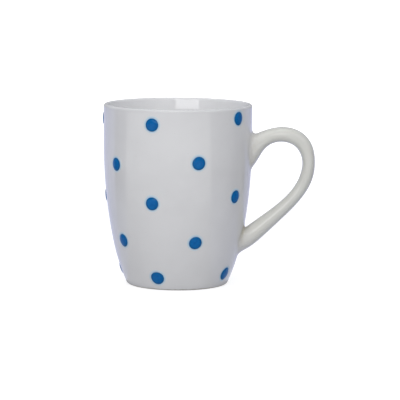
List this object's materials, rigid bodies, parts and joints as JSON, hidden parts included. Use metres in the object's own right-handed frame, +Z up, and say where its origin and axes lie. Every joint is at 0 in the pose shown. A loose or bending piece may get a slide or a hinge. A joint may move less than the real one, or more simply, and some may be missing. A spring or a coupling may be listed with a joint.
{
  "type": "mug",
  "caption": "Barrel-shaped glazed stoneware mug with a strap handle and raised dots of blue slip on its wall.",
  "frame": {"origin": "centre of the foot, in the plane that the mug stands on", "axes": "+Z up along the body's axis, +X towards the handle, +Y to the left of the handle seen from above"},
  "size_m": [0.1191, 0.083, 0.1015],
  "materials": {
    "white_glaze": "gloss",
    "blue_slip": "gloss"
  },
  "bodies": {
    "root": {"mug_body": "white_glaze", "handle": "white_glaze", "upper_handle_slip": "white_glaze", "lower_handle_slip": "white_glaze", "dot_top_1": "blue_slip", "dot_top_2": "blue_slip", "dot_top_3": "blue_slip", "dot_top_4": "blue_slip", "dot_top_5": "blue_slip", "dot_upper_1": "blue_slip", "dot_upper_2": "blue_slip", "dot_upper_3": "blue_slip", "dot_upper_4": "blue_slip", "dot_middle_1": "blue_slip", "dot_middle_2": "blue_slip", "dot_middle_3": "blue_slip", "dot_middle_4": "blue_slip", "dot_middle_5": "blue_slip", "dot_lower_1": "blue_slip", "dot_lower_2": "blue_slip", "dot_lower_3": "blue_slip", "dot_lower_4": "blue_slip", "dot_bottom_1": "blue_slip", "dot_bottom_2": "blue_slip", "dot_bottom_3": "blue_slip", "dot_bottom_4": "blue_slip", "dot_bottom_5": "blue_slip"}
  },
  "joints": []
}
